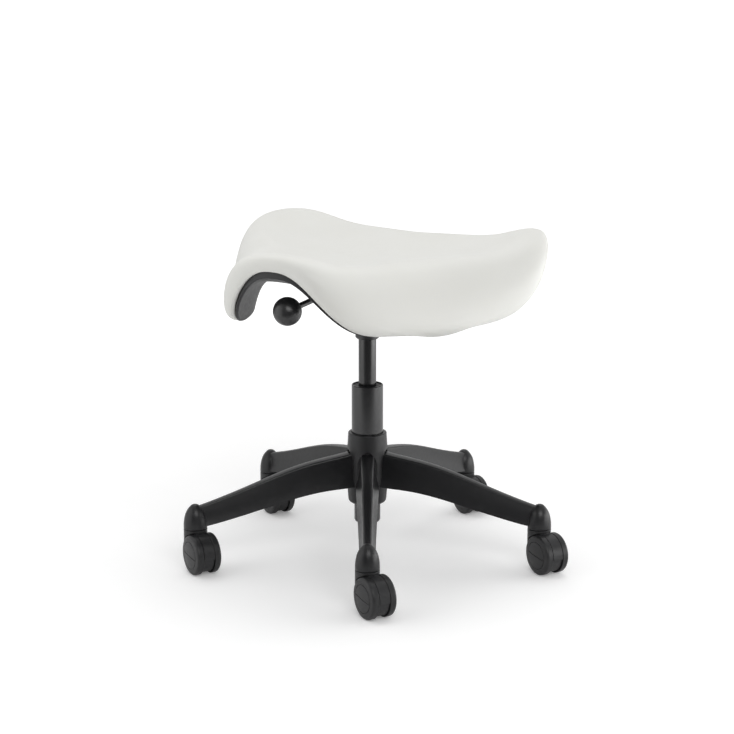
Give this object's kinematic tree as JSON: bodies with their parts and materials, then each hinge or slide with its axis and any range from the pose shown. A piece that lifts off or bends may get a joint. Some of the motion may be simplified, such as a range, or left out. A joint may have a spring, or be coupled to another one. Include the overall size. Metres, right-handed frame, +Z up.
{
  "type": "saddle stool",
  "caption": "Height-adjustable clinic stool: three-lobed padded saddle seat, gas-lift column with ball-end lever, star base on twin-wheel casters.",
  "frame": {"origin": "on the column axis at floor level, under the centre of the base", "axes": "+Z up along the column; -Y towards the first base arm; +X towards one raised corner of the seat; the lever leaves at 120 degrees clockwise from +X"},
  "size_m": [0.5991, 0.6081, 0.5234],
  "materials": {
    "upholstery": "off-white smooth artificial leather, satin",
    "foam": "moulded flexible foam",
    "shell": "black fine-textured moulded shell",
    "base": "black glass-filled nylon, satin",
    "caster": "black nylon, satin",
    "wheel": "black nylon with soft sheen",
    "column": "black powder-coated steel tube",
    "cylinder": "black coated steel, smooth",
    "bushing": "black acetal guide",
    "steel": "bright zinc-plated steel",
    "rubber": "black rubber",
    "mechanism": "black painted steel",
    "knob": "black phenolic ball, semi-gloss",
    "brass": "machined brass"
  },
  "bodies": {
    "base": {"base_star": "base", "stem_sockets": "steel", "column_tube": "column", "column_bushing": "bushing"},
    "rod": {"piston_rod": "steel", "piston": "brass", "thrust_washers": "steel", "thrust_balls": "steel", "rod_clip": "steel", "rubber_bumper": "rubber"},
    "seat": {"gas_cylinder": "cylinder", "rod_guide": "bushing", "valve_body": "brass", "taper_socket": "mechanism", "lever_bracket": "mechanism", "lever_pin": "steel", "mounting_plate": "mechanism", "plate_screws": "steel", "tee_nuts": "steel", "seat_shell": "shell", "seat_foam": "foam", "seat_cover": "upholstery"},
    "lever": {"lever_rod": "mechanism", "lever_knob": "knob"},
    "valve": {"release_pin": "steel"},
    "caster_1": {"caster_hood_1": "caster", "caster_stem_1": "steel", "caster_axle_1": "steel"},
    "wheel_a_1": {"wheel_a_1": "wheel", "wheel_cap_a_1": "wheel"},
    "wheel_b_1": {"wheel_b_1": "wheel", "wheel_cap_b_1": "wheel"},
    "caster_2": {"caster_hood_2": "caster", "caster_stem_2": "steel", "caster_axle_2": "steel"},
    "wheel_a_2": {"wheel_a_2": "wheel", "wheel_cap_a_2": "wheel"},
    "wheel_b_2": {"wheel_b_2": "wheel", "wheel_cap_b_2": "wheel"},
    "caster_3": {"caster_hood_3": "caster", "caster_stem_3": "steel", "caster_axle_3": "steel"},
    "wheel_a_3": {"wheel_a_3": "wheel", "wheel_cap_a_3": "wheel"},
    "wheel_b_3": {"wheel_b_3": "wheel", "wheel_cap_b_3": "wheel"},
    "caster_4": {"caster_hood_4": "caster", "caster_stem_4": "steel", "caster_axle_4": "steel"},
    "wheel_a_4": {"wheel_a_4": "wheel", "wheel_cap_a_4": "wheel"},
    "wheel_b_4": {"wheel_b_4": "wheel", "wheel_cap_b_4": "wheel"},
    "caster_5": {"caster_hood_5": "caster", "caster_stem_5": "steel", "caster_axle_5": "steel"},
    "wheel_a_5": {"wheel_a_5": "wheel", "wheel_cap_a_5": "wheel"},
    "wheel_b_5": {"wheel_b_5": "wheel", "wheel_cap_b_5": "wheel"}
  },
  "joints": [
    {"name": "seat_swivel", "type": "hinge", "parent": "base", "child": "rod", "pos_m": [0, 0, 0.06], "axis": [0, 0, 1], "continuous": true},
    {"name": "seat_height", "type": "slide", "parent": "rod", "child": "seat", "axis": [0, 0, 1], "range_m": [-0.07, 0.06]},
    {"name": "lever_lift", "type": "hinge", "parent": "seat", "child": "lever", "pos_m": [-0.02, -0.03464, 0.421], "axis": [-0.866, 0.5, 0], "range_deg": [0, 3.5], "stiffness_Nm_per_rad": 5, "springref_deg": -2.86},
    {"name": "valve_press", "type": "slide", "parent": "seat", "child": "valve", "axis": [0, 0, 1], "range_m": [-0.0027, 0]},
    {"name": "caster_swivel_1", "type": "hinge", "parent": "base", "child": "caster_1", "pos_m": [0, -0.282, 0.0676], "axis": [0, 0, 1], "continuous": true},
    {"name": "wheel_spin_a_1", "type": "hinge", "parent": "caster_1", "child": "wheel_a_1", "pos_m": [0.01105, -0.30194, 0.0313], "axis": [0.8746, 0.4848, 0], "continuous": true},
    {"name": "wheel_spin_b_1", "type": "hinge", "parent": "caster_1", "child": "wheel_b_1", "pos_m": [0.01105, -0.30194, 0.0313], "axis": [0.8746, 0.4848, 0], "continuous": true},
    {"name": "caster_swivel_2", "type": "hinge", "parent": "base", "child": "caster_2", "pos_m": [0.2682, -0.08714, 0.0676], "axis": [0, 0, 1], "continuous": true},
    {"name": "wheel_spin_a_2", "type": "hinge", "parent": "caster_2", "child": "wheel_a_2", "pos_m": [0.27925, -0.10708, 0.0313], "axis": [0.8746, 0.4848, 0], "continuous": true},
    {"name": "wheel_spin_b_2", "type": "hinge", "parent": "caster_2", "child": "wheel_b_2", "pos_m": [0.27925, -0.10708, 0.0313], "axis": [0.8746, 0.4848, 0], "continuous": true},
    {"name": "caster_swivel_3", "type": "hinge", "parent": "base", "child": "caster_3", "pos_m": [0.16576, 0.22814, 0.0676], "axis": [0, 0, 1], "continuous": true},
    {"name": "wheel_spin_a_3", "type": "hinge", "parent": "caster_3", "child": "wheel_a_3", "pos_m": [0.17681, 0.2082, 0.0313], "axis": [0.8746, 0.4848, 0], "continuous": true},
    {"name": "wheel_spin_b_3", "type": "hinge", "parent": "caster_3", "child": "wheel_b_3", "pos_m": [0.17681, 0.2082, 0.0313], "axis": [0.8746, 0.4848, 0], "continuous": true},
    {"name": "caster_swivel_4", "type": "hinge", "parent": "base", "child": "caster_4", "pos_m": [-0.16576, 0.22814, 0.0676], "axis": [0, 0, 1], "continuous": true},
    {"name": "wheel_spin_a_4", "type": "hinge", "parent": "caster_4", "child": "wheel_a_4", "pos_m": [-0.1547, 0.2082, 0.0313], "axis": [0.8746, 0.4848, 0], "continuous": true},
    {"name": "wheel_spin_b_4", "type": "hinge", "parent": "caster_4", "child": "wheel_b_4", "pos_m": [-0.1547, 0.2082, 0.0313], "axis": [0.8746, 0.4848, 0], "continuous": true},
    {"name": "caster_swivel_5", "type": "hinge", "parent": "base", "child": "caster_5", "pos_m": [-0.2682, -0.08714, 0.0676], "axis": [0, 0, 1], "continuous": true},
    {"name": "wheel_spin_a_5", "type": "hinge", "parent": "caster_5", "child": "wheel_a_5", "pos_m": [-0.25714, -0.10708, 0.0313], "axis": [0.8746, 0.4848, 0], "continuous": true},
    {"name": "wheel_spin_b_5", "type": "hinge", "parent": "caster_5", "child": "wheel_b_5", "pos_m": [-0.25714, -0.10708, 0.0313], "axis": [0.8746, 0.4848, 0], "continuous": true}
  ],
  "couplings": [
    {"joint": "valve_press", "follows": "lever_lift", "m_per_rad": -0.04}
  ]
}
